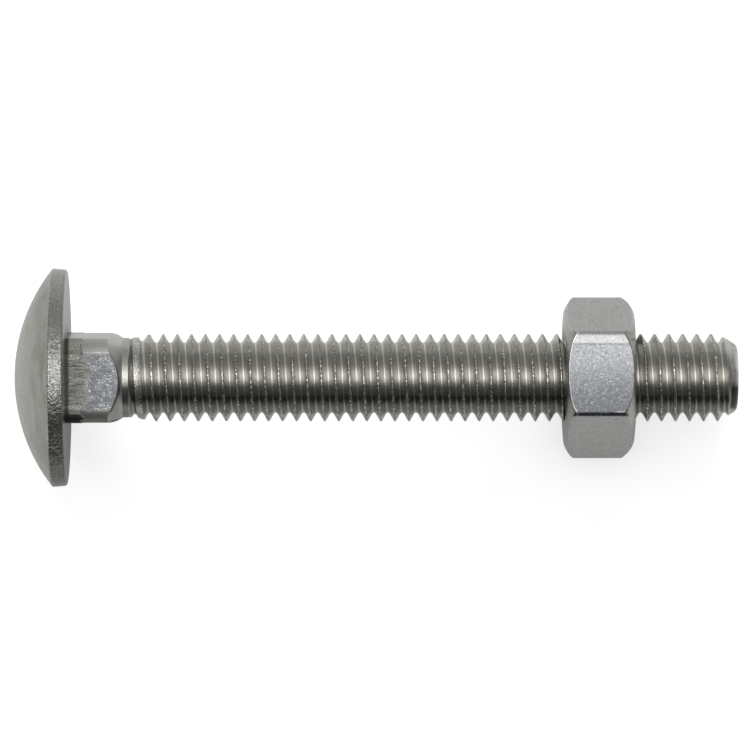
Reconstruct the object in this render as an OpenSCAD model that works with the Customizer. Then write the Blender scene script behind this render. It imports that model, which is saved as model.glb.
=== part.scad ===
// Carriage bolt M8 x 60 with a hexagon nut on its thread.
// Both pieces are drawn upright, with the bolt's axis along Z and the head's bearing face at Z = 0.
// They are then laid down as they rest, on the rim of the head and on one flat of the nut, with the
// tip towards +X and the origin on the ground under the middle of the part.

/* [Head] */
// Largest diameter of the domed head
head_d = 19.48; // [17:0.1:21]
// Height of the head from its bearing face to the top of the dome
head_h = 4.68; // [3.6:0.1:5.6]
// Height of the rim band under the dome
rim_h = 1.27; // [0.8:0.05:1.8]
// How much narrower the rim is at the bearing face than at the dome, on the radius
rim_taper = 0.12; // [0:0.02:0.3]
// Radius of the rim's edge at the bearing face
rim_round = 0.2; // [0.1:0.05:0.4]

/* [Square neck] */
// Width of the neck across its flats
neck_w = 7.5; // [7.3:0.1:9]
// Length of the neck from the bearing face to the end of its flats
neck_len = 4.64; // [3:0.1:7]
// Corner radius along most of the neck
neck_corner = 1.2; // [0.9:0.1:1.6]
// Corner radius of the fuller part next to the head
neck_root_corner = 0.6; // [0.3:0.1:0.8]
// Length of the fuller part next to the head
neck_root_len = 1.35; // [0.5:0.05:2]
// Angle between the axis and the cone that cuts the neck's corners
neck_cut_angle = 48; // [30:1:60]
// Length of the cone between the neck's flats and the shank
neck_blend = 0.34; // [0.2:0.02:0.8]
// Turn of the neck's flats against the nut's flats
neck_turn = 9.4; // [0:0.2:45]

/* [Shank and thread] */
// Length from the bearing face to the tip
bolt_len = 59.6; // [25:0.2:120]
// Diameter of the plain shank
shank_d = 7.1; // [6.9:0.02:7.3]
// Length of the plain shank between the neck and the thread
shank_len = 0.5; // [0.3:0.1:20]
// Diameter over the thread's crests
thread_d = 7.8; // [7.6:0.02:8]
// Advance of the thread in one turn
pitch = 1.25; // [1:0.05:1.5]
// Angle between the thread's flanks
thread_angle = 60; // [55:1:65]
// Width of the flat on the crest
crest_flat = 0.12; // [0.04:0.02:0.2]
// Width of the flat in the root
root_flat = 0.14; // [0.04:0.02:0.2]
// Length over which the thread grows to its full depth
runout = 1.8; // [1.2:0.1:5]
// Turn of the thread about the axis
thread_turn = 207.2; // [0:0.2:360]
// How far the tip's face reaches out past the thread's root, on the radius
tip_lip = 0.05; // [0.02:0.01:0.3]
// Angle between the axis and the tip's chamfer
tip_angle = 29; // [20:1:45]

/* [Nut] */
// Width of the nut across its flats
nut_af = 12.74; // [12:0.02:14]
// Height of the nut
nut_h = 6.15; // [4:0.05:8]
// Distance from the head's bearing face to the nut
nut_place = 44.22; // [12:0.02:100]
// Diameter of the nut's round faces inside their chamfers
nut_face_d = 11.8; // [11.2:0.1:11.9]
// Angle between a face and its chamfer
nut_chamfer_angle = 36; // [25:1:45]
// Radius of the six long edges
nut_edge = 0.45; // [0.1:0.05:0.8]
// Room between the thread's crests and the bore, on the radius
bore_room = 0.1; // [0.05:0.01:0.2]
// Depth of the countersink at each end of the bore
sink_depth = 0.35; // [0.1:0.05:0.6]

/* [Fineness] */
// Number of straight sides in one turn of the thread
thread_sides = 24; // [12:1:30]
// Number of steps round a full circle
$fn = 96; // [24:8:144]

/* [Hidden] */

steel = "silver";
nut_steel = "gainsboro";

// A cutter is this much longer than what it cuts
over = 0.5;

// Head
head_r = head_d / 2;
dome_h = head_h - rim_h;
dome_r = (dome_h * dome_h + head_r * head_r) / (2 * dome_h);
seat_r = head_r - rim_taper;

// Shank and thread
shank_r = shank_d / 2;
neck_end = neck_len + neck_blend;
thread_z = neck_end + shank_len;
half_angle = thread_angle / 2;
crest_r = thread_d / 2;
root_r = crest_r - (pitch - crest_flat - root_flat) / 2 / tan(half_angle);
tip_r = root_r + tip_lip;

// The thread's body starts inside the shank, a little narrower than it
sunk = 0.3;
start_r = shank_r - 0.05;
start_z = thread_z - sunk;
first_depth = 0.02;

// Rows of points: four on each pitch, from two turns below the start to one turn past the tip
crest_z = pitch * (thread_turn / 360 - 2);
turns = ceil((bolt_len - start_z) / pitch) + 4;
rows = 4 * turns;
base_z = start_z - 3 * pitch + (crest_z - start_z) - pitch * floor((crest_z - start_z) / pitch);

// Nut
nut_edge_centre = (nut_af / 2 - nut_edge) / cos(30);
nut_wide_r = nut_af / 2 / cos(30) + over;
nut_chamfer = (nut_wide_r - nut_face_d / 2) * tan(nut_chamfer_angle);
bore_r = crest_r + bore_room;

// The bolt lies on the head's rim, and leans until the nut or the tip touches
rim_z = -rim_h;
nut_low = (nut_af - nut_face_d) / 2 * tan(nut_chamfer_angle);
nut_lean = atan((head_r - nut_af / 2) / (nut_place + nut_h - nut_low - rim_z));
tip_lean = atan((head_r - tip_r) / (bolt_len - rim_z));
lean = min(nut_lean, tip_lean);

// Middle of the laid part along X, and its lowest point, where the rim touches
part_x0 = (dome_r - head_h) * cos(lean) - dome_r;
part_x1 = bolt_len * cos(lean) + tip_r * sin(lean);
middle_x = (part_x0 + part_x1) / 2;
floor_z = -rim_z * sin(lean) - head_r * cos(lean);

// Share of the full depth that the thread has at a height
function grown(z) = max(first_depth, min(1, (z - thread_z) / runout));

// Radii between which the thread's flanks run at a height
function tip_cone(z) = tip_r + max(0, bolt_len - z) * tan(tip_angle);
function crest_limit(z) = min(start_r + (crest_r - start_r) * grown(z), tip_cone(z));
function root_limit(z) = start_r - (start_r - root_r) * grown(z);

// Half widths of the crest and of the root where the flanks meet those radii
function crest_half(z) = crest_flat / 2 + (crest_r - crest_limit(z)) * tan(half_angle);
function root_half(z) = root_flat / 2 + (root_limit(z) - root_r) * tan(half_angle);

// Distance along the axis to the nearest crest, on one side of the bolt
function turn_part(z, side) = (z - base_z) / pitch - side / thread_sides;
function crest_distance(z, side) =
    let (part = turn_part(z, side) - floor(turn_part(z, side)))
    min(part, 1 - part) * pitch;

// Radius of the thread at a height, on one side of the bolt
function thread_radius(z, side) =
    let (flank = crest_r - (crest_distance(z, side) - crest_flat / 2) / tan(half_angle))
    max(root_limit(z), min(crest_limit(z), flank));

// Height of a row: the two edges of each crest, then the two edges of each root
function row_z(side, row) =
    let (
        middle = base_z + pitch * (floor(row / 4) + side / thread_sides),
        valley = middle + pitch / 2,
        part = row % 4
    )
    part == 0 ? middle - crest_half(middle)
    : part == 1 ? middle + crest_half(middle)
    : part == 2 ? valley - root_half(valley)
    : valley + root_half(valley);

// Last row at or below the thread's start and first row at or above the tip, on each side
first_rows = [for (side = [0 : thread_sides - 1])
    max([for (row = [0 : rows - 1]) if (row_z(side, row) <= start_z) row])];
last_rows = [for (side = [0 : thread_sides - 1])
    min([for (row = [0 : rows - 1]) if (row_z(side, row) >= bolt_len) row])];

// Place of a point in the list: a full turn on, a side is the first one again, four rows up
function point_number(side, row) =
    side == thread_sides ? point_number(0, row + 4)
    : side * rows + min(max(row, first_rows[side]), last_rows[side]);

function thread_point(side, row) =
    let (
        z = min(max(row_z(side, row), start_z), bolt_len),
        r = thread_radius(z, side),
        a = 360 * side / thread_sides
    )
    [r * cos(a), r * sin(a), z];

// A face is kept where its three points differ
function is_face(f) = f[0] != f[1] && f[1] != f[2] && f[2] != f[0];

thread_points = [for (side = [0 : thread_sides - 1], row = [0 : rows - 1]) thread_point(side, row)];

thread_faces = [
    for (side = [0 : thread_sides - 1], row = [0 : rows - 2])
        let (
            a = point_number(side, row),
            b = point_number(side + 1, row),
            c = point_number(side + 1, row + 1),
            d = point_number(side, row + 1)
        )
        for (f = [[a, c, b], [a, d, c]])
            if (is_face(f)) f
];

start_face = [for (side = [0 : thread_sides - 1]) side * rows + first_rows[side]];
tip_face = [for (side = [thread_sides - 1 : -1 : 0]) side * rows + last_rows[side]];

// Lays a piece that is drawn upright down to where it rests, over the origin
module laid() {
    translate([-middle_x, 0, -floor_z]) rotate([0, 90 + lean, 0]) children();
}

// Half section of the head: a ball's cap on a rim with slanted sides and a rounded lower edge
module head_section() {
    top = -head_h - over;
    side_slope = rim_taper / (rim_h - rim_round);
    intersection() {
        translate([0, dome_r - head_h]) circle(r = dome_r);
        polygon([
            [0, 0], [0, top], [seat_r + (-rim_round - top) * side_slope, top],
            [seat_r, -rim_round], [seat_r - rim_round, -rim_round], [seat_r - rim_round, 0]
        ]);
    }
    translate([seat_r - rim_round, -rim_round]) circle(r = rim_round);
}

module head() {
    rotate_extrude() head_section();
}

// Square with round corners
module neck_section(corner) {
    inner = neck_w - 2 * corner;
    square([neck_w, inner], center = true);
    square([inner, neck_w], center = true);
    for (x = [-1, 1], y = [-1, 1])
        translate([x * inner / 2, y * inner / 2]) circle(r = corner);
}

// Neck: fuller corners next to the head, corners cut by a cone at the other end, then the shank
module neck() {
    flat_r = neck_w / 2;
    cut_len = neck_len - neck_root_len;
    rotate([0, 0, neck_turn]) {
        translate([0, 0, -rim_h / 2])
            linear_extrude(height = neck_root_len + rim_h / 2) neck_section(neck_root_corner);
        intersection() {
            linear_extrude(height = neck_len) neck_section(neck_corner);
            translate([0, 0, neck_root_len / 2])
                cylinder(h = neck_len - neck_root_len / 2,
                         r1 = flat_r + (neck_len - neck_root_len / 2) * tan(neck_cut_angle), r2 = flat_r);
        }
    }
    translate([0, 0, neck_len]) cylinder(h = neck_blend, r1 = flat_r, r2 = shank_r);
    cylinder(h = thread_z, r = shank_r);
}

// Right-handed thread that grows out of the shank and ends in the tip's chamfer
module thread() {
    polyhedron(points = thread_points, faces = concat(thread_faces, [start_face, tip_face]), convexity = 10);
}

module bolt() {
    color(steel) laid() {
        head();
        neck();
        thread();
    }
}

// Hexagon with rounded corners and a flat towards +X
module hexagon() {
    for (a = [0 : 60 : 300]) rotate(a) {
        translate([0, -nut_edge_centre / 2]) square([nut_af / 2, nut_edge_centre]);
        rotate(30) translate([nut_edge_centre, 0]) circle(r = nut_edge);
    }
}

// Nut: hexagon chamfered at both ends, with a bore that clears the thread's crests
module nut() {
    color(nut_steel) laid() translate([0, 0, nut_place]) difference() {
        intersection() {
            linear_extrude(height = nut_h) hexagon();
            rotate_extrude() polygon([
                [0, 0], [nut_face_d / 2, 0], [nut_wide_r, nut_chamfer],
                [nut_wide_r, nut_h - nut_chamfer], [nut_face_d / 2, nut_h], [0, nut_h]
            ]);
        }
        translate([0, 0, -over]) cylinder(h = nut_h + 2 * over, r = bore_r);
        translate([0, 0, -over])
            cylinder(h = sink_depth + over, r1 = bore_r + sink_depth + over, r2 = bore_r);
        translate([0, 0, nut_h - sink_depth])
            cylinder(h = sink_depth + over, r1 = bore_r, r2 = bore_r + sink_depth + over);
    }
}

bolt();
nut();
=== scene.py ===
import logging
import math
from collections.abc import Callable, Sequence
from dataclasses import dataclass
from enum import Enum
from typing import ClassVar

import bmesh
import bpy
from mathutils import Matrix, Vector, noise


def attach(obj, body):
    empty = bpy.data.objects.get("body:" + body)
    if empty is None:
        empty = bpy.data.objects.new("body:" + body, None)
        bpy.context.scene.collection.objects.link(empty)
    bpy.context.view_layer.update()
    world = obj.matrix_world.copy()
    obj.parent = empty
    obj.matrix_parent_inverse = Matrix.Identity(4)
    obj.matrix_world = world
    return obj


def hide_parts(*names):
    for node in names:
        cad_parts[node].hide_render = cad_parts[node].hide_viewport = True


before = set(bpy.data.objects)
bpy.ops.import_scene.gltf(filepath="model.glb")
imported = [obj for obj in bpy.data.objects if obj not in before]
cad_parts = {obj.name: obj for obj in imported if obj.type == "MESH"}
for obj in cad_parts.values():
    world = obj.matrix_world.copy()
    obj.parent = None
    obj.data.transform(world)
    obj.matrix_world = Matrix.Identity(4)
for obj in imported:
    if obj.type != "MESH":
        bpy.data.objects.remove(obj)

log = logging.getLogger("carriage bolt")

Point = tuple[float, float]
Corner = tuple[float, float, float]
Colour = tuple[float, float, float]
Shell = bmesh.types.BMesh
Thing = bpy.types.Object
Tree = bpy.types.NodeTree
Outputs = bpy.types.NodeOutputs
Socket = bpy.types.NodeSocket
Value = Socket | float | Sequence[float]

MM = 0.001
CLOSE = 0.002
PITCH = 1.25
FIRST_CREST = 0.7194


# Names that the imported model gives


class Body(Enum):
    """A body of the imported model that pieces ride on, named as the solid that it carries."""

    BOLT = "bolt"
    NUT = "nut"


class Slot(Enum):
    """A material slot of the record, under its body's name."""

    BOLT = "bolt_steel"
    NUT = "nut_steel"


class Mark(Enum):
    """A number kept on each point of a piece, which its finish reads."""

    RIM = "rim_share"
    ROOT = "root_share"
    ROOT_END = "root_end"
    EDGE_GAP = "edge_gap"
    CORNER_GAP = "corner_gap"
    HEIGHT = "thread_height"
    CUT_END = "cut_end"


Marks = dict[Mark, Callable[[Vector], float]]


# How the bolt lies


@dataclass(frozen=True)
class Lie:
    """How the bolt lies: sizes are in millimetres and degrees."""

    seat: tuple[float, float, float] = (-27.4855, 0.0, 9.6358)
    slope: float = 3.7586

    def turn(self) -> Matrix:
        """Returns the turn from an upright bolt to the lying one."""
        return Matrix.Rotation(math.radians(90 + self.slope), 4, "Y")

    def placing(self) -> Matrix:
        """Returns the matrix that takes an upright bolt in millimetres to its place in metres."""
        return Matrix.Scale(MM, 4) @ Matrix.Translation(self.seat) @ self.turn()

    def along(self) -> Vector:
        """Returns the direction from the head to the tip."""
        return self.turn() @ Vector((0, 0, 1))

    def upward(self) -> Vector:
        """Returns the direction square to the axis that points up."""
        return self.turn() @ Vector((-1, 0, 0))

    def point(self, distance: float) -> Vector:
        """Returns the point in metres on the axis at a distance from the bearing face."""
        return self.placing() @ Vector((0, 0, distance))


LIE = Lie()


# Reading places and tables


def clamped(value: float) -> float:
    """Keeps a value between 0 and 1."""
    return max(0.0, min(1.0, value))


def polar(place: Vector) -> Point:
    """Gives a place's distance from the axis and its direction in radians."""
    return math.hypot(place.x, place.y), math.atan2(place.y, place.x)


def folded(angle: float, sides: int) -> float:
    """Gives the angle between a direction and the middle of the nearest of some sides."""
    half_side = math.pi / sides
    return abs((angle + half_side) % (2 * half_side) - half_side)


def between(table: Sequence[Point], place: float) -> float:
    """Reads a value from a table, straight between its entries and level past its ends.

    Args:
        table: Places, rising, each with its value.
        place: Where to read.

    Returns:
        The value.
    """
    if place <= table[0][0]:
        return table[0][1]
    for (low, first), (high, second) in zip(table, table[1:]):
        if place <= high:
            return first + (second - first) * (place - low) / (high - low)
    return table[-1][1]


def prism_radius(angle: float, half: float, corner: float, sides: int) -> float:
    """Gives the distance from the axis to the side of a prism with rounded edges.

    Args:
        angle: Direction in radians, where 0 is square to a side.
        half: Half of the width over two opposite sides.
        corner: Radius of the rounded edges.
        sides: Number of sides.

    Returns:
        The distance.
    """
    half_side = math.pi / sides
    turn = folded(angle, sides)
    reach = (half - corner) / math.cos(half_side)
    centre = Vector((reach * math.cos(half_side), reach * math.sin(half_side)))
    if half * math.tan(turn) <= centre.y:
        return half / math.cos(turn)
    straight = Vector((math.cos(turn), math.sin(turn))).dot(centre)
    return straight + math.sqrt(max(0.0, straight**2 - centre.length_squared + corner**2))


# Drawing outlines and turning them into closed shells


def softened(corners: Sequence[Corner], steps: int = 5) -> list[Point]:
    """Rounds the inner corners of an open outline.

    Args:
        corners: Radius, height and length of the rounding along each side, in millimetres.
        steps: Number of short sides that a rounding gets.

    Returns:
        The outline's points, as radius and height.
    """
    points: list[Point] = []
    for number, (radius, height, length) in enumerate(corners):
        middle = Vector((radius, height))
        if length <= 0 or number in (0, len(corners) - 1):
            points.append((radius, height))
            continue
        before = Vector(corners[number - 1][:2]) - middle
        after = Vector(corners[number + 1][:2]) - middle
        first = middle + before.normalized() * length
        last = middle + after.normalized() * length
        for step in range(steps + 1):
            part = step / steps
            spot = first * (1 - part) ** 2 + middle * (2 * part * (1 - part)) + last * part**2
            points.append((spot.x, spot.y))
    return points


def spaced(start: Point, end: Point, count: int) -> list[Point]:
    """Spaces points evenly from start up to end, with end left out.

    Args:
        start: First point, as radius and height.
        end: Where the next run of points starts.
        count: Number of points.

    Returns:
        The points.
    """
    first = Vector(start)
    step = (Vector(end) - first) / count
    return [tuple(first + step * number) for number in range(count)]


def lay_chain(bm: Shell, points: Sequence[Point], closed: bool = False) -> list:
    """Lays an outline as vertices joined by edges, on the side that faces +X.

    Args:
        bm: The mesh.
        points: The outline's points, as radius and height.
        closed: Whether the last point joins the first one.

    Returns:
        The new vertices and edges.
    """
    verts = [bm.verts.new((radius, 0.0, height)) for radius, height in points]
    pairs = list(zip(verts, verts[1:]))
    if closed:
        pairs.append((verts[-1], verts[0]))
    return verts + [bm.edges.new(pair) for pair in pairs]


def turned_shell(points: Sequence[Point], sides: int, closed: bool = False) -> Shell:
    """Turns an outline once round the axis.

    Args:
        points: The outline's points, as radius and height.
        sides: Number of sides round the axis.
        closed: Whether the last point joins the first one.

    Returns:
        The mesh.
    """
    bm = bmesh.new()
    bmesh.ops.spin(
        bm, geom=lay_chain(bm, points, closed), cent=(0, 0, 0), axis=(0, 0, 1), angle=math.tau,
        steps=sides, use_merge=True,
    )
    bmesh.ops.remove_doubles(bm, verts=bm.verts, dist=CLOSE)
    return bm


def wound_shell(outline: Sequence[Point], low: float, high: float, sides: int) -> Shell:
    """Winds a one-pitch outline along a right-handed helix, past both ends of a stretch.

    Args:
        outline: The outline's points from one crest to the next.
        low: Where the stretch starts, in millimetres.
        high: Where it ends.
        sides: Number of sides on one turn.

    Returns:
        The mesh, with its ends still open.
    """
    bm = bmesh.new()
    base = FIRST_CREST + PITCH * (math.floor((low - FIRST_CREST) / PITCH) - 1)
    turns = math.ceil((high - base) / PITCH) + 1
    chain = lay_chain(bm, [(radius, base + height) for radius, height in outline])
    bmesh.ops.spin(
        bm, geom=chain, cent=(0, 0, 0), axis=(0, 0, 1), angle=math.tau, steps=sides,
        dvec=(0, 0, PITCH / sides), use_merge=False,
    )
    first = list(bm.verts) + list(bm.edges) + list(bm.faces)
    for number in range(1, turns):
        copy = bmesh.ops.duplicate(bm, geom=first)["geom"]
        verts = [part for part in copy if isinstance(part, bmesh.types.BMVert)]
        bmesh.ops.translate(bm, verts=verts, vec=(0, 0, PITCH * number))
    bmesh.ops.remove_doubles(bm, verts=bm.verts, dist=CLOSE)
    return bm


def cut_square(bm: Shell, height: float, keep_above: bool) -> list:
    """Cuts a mesh square to the axis.

    Args:
        bm: The mesh.
        height: Where the cut goes, in millimetres.
        keep_above: Whether the part above the cut stays.

    Returns:
        The edges of the cut.
    """
    everything = list(bm.verts) + list(bm.edges) + list(bm.faces)
    result = bmesh.ops.bisect_plane(
        bm, geom=everything, dist=1e-5, plane_co=(0, 0, height), plane_no=(0, 0, 1),
        clear_inner=keep_above, clear_outer=not keep_above,
    )
    return [part for part in result["geom_cut"] if isinstance(part, bmesh.types.BMEdge)]


def set_radius(vert: bmesh.types.BMVert, radius: float) -> None:
    """Moves a vertex in or out from the axis."""
    share = radius / math.hypot(vert.co.x, vert.co.y)
    vert.co.xy = vert.co.xy * share


def carry_edge(bm: Shell, edges: list, radius: float, height: float, cap: bool) -> list:
    """Carries an open edge on to a new ring.

    Args:
        bm: The mesh.
        edges: The open edge.
        radius: The new ring's radius, in millimetres.
        height: The new ring's height, in millimetres.
        cap: Whether points that are already nearer to the axis keep their radius.

    Returns:
        The new ring's edges.
    """
    made = bmesh.ops.extrude_edge_only(bm, edges=edges)["geom"]
    for part in made:
        if isinstance(part, bmesh.types.BMVert):
            now = math.hypot(part.co.x, part.co.y)
            set_radius(part, min(now, radius) if cap else radius)
            part.co.z = height
    return [part for part in made if isinstance(part, bmesh.types.BMEdge)]


def set_radii(bm: Shell, radius_at: Callable[[float, float, float], float]) -> None:
    """Moves each vertex in or out from the axis.

    Args:
        bm: The mesh.
        radius_at: Gives the new radius for a radius, an angle in radians and a height.
    """
    for vert in bm.verts:
        now, angle = polar(vert.co)
        if now >= CLOSE:
            set_radius(vert, radius_at(now, angle, vert.co.z))


def note_mark(bm: Shell, mark: Mark, value_at: Callable[[Vector], float]) -> None:
    """Keeps a number on each vertex for the finish to read.

    Args:
        bm: The mesh.
        mark: The name of the number.
        value_at: Gives the number for a place in millimetres.
    """
    layer = bm.verts.layers.float.new(mark.value)
    for vert in bm.verts:
        vert[layer] = value_at(vert.co)


def added(name: str, data: bpy.types.ID) -> Thing:
    """Puts a new object in the scene.

    Args:
        name: Its name.
        data: Its mesh, light or camera.

    Returns:
        The new object.
    """
    thing = bpy.data.objects.new(name, data)
    bpy.context.scene.collection.objects.link(thing)
    return thing


def finish_piece(
    bm: Shell, name: str, body: Body, node: str,
    material: bpy.types.Material, sharp: float,
) -> Thing:
    """Makes an object of a finished mesh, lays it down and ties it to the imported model.

    Args:
        bm: The finished mesh, upright and in millimetres.
        name: The piece's name.
        body: The body that it rides on.
        node: The solid that it stands for.
        material: Its finish.
        sharp: Angle in degrees past which an edge stays sharp.

    Returns:
        The new object.
    """
    bmesh.ops.recalc_face_normals(bm, faces=bm.faces)
    bmesh.ops.transform(bm, matrix=LIE.placing(), verts=bm.verts)
    mesh = bpy.data.meshes.new(name)
    bm.to_mesh(mesh)
    bm.free()
    mesh.polygons.foreach_set("use_smooth", [True] * len(mesh.polygons))
    mesh.set_sharp_from_angle(angle=math.radians(sharp))
    mesh.materials.append(material)
    piece = added(name, mesh)
    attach(piece, body.value)
    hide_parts(node)
    log.info("%s: %d faces", name, len(mesh.polygons))
    return piece


# Node wiring and shared effects


class Wiring:
    """Adds nodes to one node tree and joins them."""

    def __init__(self, tree: Tree) -> None:
        """Keeps the tree that the nodes go in."""
        self.tree = tree

    @classmethod
    def fresh(cls, owner: bpy.types.Material | bpy.types.World) -> "Wiring":
        """Clears the nodes of a material or a world.

        Args:
            owner: The material or the world.

        Returns:
            The wiring for its new nodes.
        """
        owner.use_nodes = True
        owner.node_tree.nodes.clear()
        return cls(owner.node_tree)

    def add(
        self, kind: str, inputs: dict[str | int, Value] | None = None, **settings: object
    ) -> bpy.types.Node:
        """Adds a node.

        Args:
            kind: The node's type.
            inputs: Numbers for its sockets, or sockets to join to them.
            settings: Its own settings.

        Returns:
            The node.
        """
        node = self.tree.nodes.new(kind)
        for name, value in settings.items():
            setattr(node, name, value)
        for name, value in (inputs or {}).items():
            self.feed(node.inputs[name], value)
        return node

    def feed(self, socket: Socket, value: Value) -> None:
        """Joins a socket to another one or sets its number.

        Args:
            socket: The socket.
            value: What it gets.
        """
        if isinstance(value, bpy.types.NodeSocket):
            self.tree.links.new(value, socket)
        elif isinstance(value, (int, float)):
            socket.default_value = value
        else:
            socket.default_value = (*value, 1.0)[:len(socket.default_value)]

    def calc(self, operation: str, *values: Value) -> Socket:
        """Works out a value with a Math node."""
        return self.add("ShaderNodeMath", dict(enumerate(values)), operation=operation).outputs[0]

    def product(self, first: Value, *others: Value) -> Value:
        """Multiplies values.

        Args:
            first: The first value.
            others: The other ones.

        Returns:
            The product's socket.
        """
        for other in others:
            first = self.calc("MULTIPLY", first, other)
        return first

    def span(self, value: Value, low: float, high: float, start: float = 0, end: float = 1) -> Socket:
        """Spreads low to high over start to end, smoothly and clamped."""
        inputs = {"Value": value, "From Min": low, "From Max": high, "To Min": start, "To Max": end}
        return self.add("ShaderNodeMapRange", inputs, interpolation_type="SMOOTHSTEP").outputs[0]

    def window(self, value: Value, rise: Point, fall: Point) -> Value:
        """Gives 1 between a rise and a fall, and 0 outside both."""
        return self.product(self.span(value, *rise), self.span(value, *fall))

    def rest(self, share: Value) -> Socket:
        """Gives what a share leaves of 1."""
        return self.calc("SUBTRACT", 1.0, share)

    def blend(self, share: Value, first: Value, second: Value) -> Socket:
        """Mixes two colours by the share of the second one."""
        inputs = {0: share, 6: first, 7: second}
        return self.add("ShaderNodeMix", inputs, data_type="RGBA", clamp_factor=True).outputs[2]

    def level(self, share: Value, first: Value, second: Value) -> Socket:
        """Mixes two values by the share of the second one."""
        inputs = {0: share, 2: first, 3: second}
        return self.add("ShaderNodeMix", inputs, data_type="FLOAT", clamp_factor=True).outputs[0]

    def vector(self, operation: str, *values: Value) -> bpy.types.Node:
        """Works out a place with a Vector Math node."""
        return self.add("ShaderNodeVectorMath", dict(enumerate(values)), operation=operation)

    def join(self, *parts: Value) -> Socket:
        """Makes a place of its three parts."""
        return self.add("ShaderNodeCombineXYZ", dict(enumerate(parts))).outputs[0]

    def distance(self, depth: Value, across: Value) -> Socket:
        """Gives the distance from the axis."""
        return self.vector("LENGTH", self.join(depth, across, 0.0)).outputs["Value"]

    def split(self, place: Socket) -> Outputs:
        """Takes a place apart into its three parts."""
        return self.add("ShaderNodeSeparateXYZ", {"Vector": place}).outputs

    def rolled(self, place: Socket, turn: Value) -> Socket:
        """Turns a place round the line that runs up through the bolt."""
        inputs = {"Vector": place, "Angle": turn}
        return self.add("ShaderNodeVectorRotate", inputs, rotation_type="X_AXIS").outputs[0]

    def clouds(self, place: Socket, scale: Value, detail: float, roughness: float) -> Socket:
        """Gives noise."""
        inputs = {"Vector": place, "Scale": scale, "Detail": detail, "Roughness": roughness}
        return self.add("ShaderNodeTexNoise", inputs).outputs["Fac"]

    def mark(self, mark: Mark) -> Socket:
        """Reads a number that is kept on the piece's points."""
        return self.add("ShaderNodeAttribute", attribute_name=mark.value).outputs["Fac"]

    def upright(self) -> Socket:
        """Gives the place on the bolt as if it stood upright, in millimetres.

        Returns:
            The place's socket.
        """
        inputs = {
            "Vector": self.add("ShaderNodeTexCoord").outputs["Object"],
            "Location": Vector(LIE.seat) * MM,
            "Rotation": LIE.turn().to_euler(),
            "Scale": (MM, MM, MM),
        }
        return self.add("ShaderNodeMapping", inputs, vector_type="TEXTURE").outputs[0]

    def effect(self, group: Tree, inputs: dict[str, Value]) -> Outputs:
        """Adds a shared effect with this material's own values."""
        return self.add("ShaderNodeGroup", inputs, node_tree=group).outputs


class Effect:
    """A node group under construction, with its sockets by name."""

    def __init__(self, name: str, inputs: dict[str, float | None], outputs: Sequence[str]) -> None:
        """Starts a group.

        Args:
            name: The group's name.
            inputs: Socket names with the value that each starts at, or None for a place.
            outputs: Names of the values that it gives.
        """
        self.tree = bpy.data.node_groups.new(name, "ShaderNodeTree")
        for label, start in inputs.items():
            kind = "NodeSocketVector" if start is None else "NodeSocketFloat"
            socket = self.tree.interface.new_socket(label, in_out="INPUT", socket_type=kind)
            if start is not None:
                socket.default_value = start
        for label in outputs:
            self.tree.interface.new_socket(label, in_out="OUTPUT", socket_type="NodeSocketFloat")
        self.wiring = Wiring(self.tree)
        self.source = self.tree.nodes.new("NodeGroupInput")
        self.sink = self.tree.nodes.new("NodeGroupOutput")

    def value(self, name: str) -> Socket:
        """Gives one of the group's inputs."""
        return self.source.outputs[name]

    def part(self, name: str) -> Socket:
        """Gives 1 divided by one of the group's inputs."""
        return self.wiring.calc("DIVIDE", 1.0, self.value(name))

    def give(self, name: str, socket: Socket) -> None:
        """Joins a result to one of the group's outputs."""
        self.tree.links.new(socket, self.sink.inputs[name])


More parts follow.
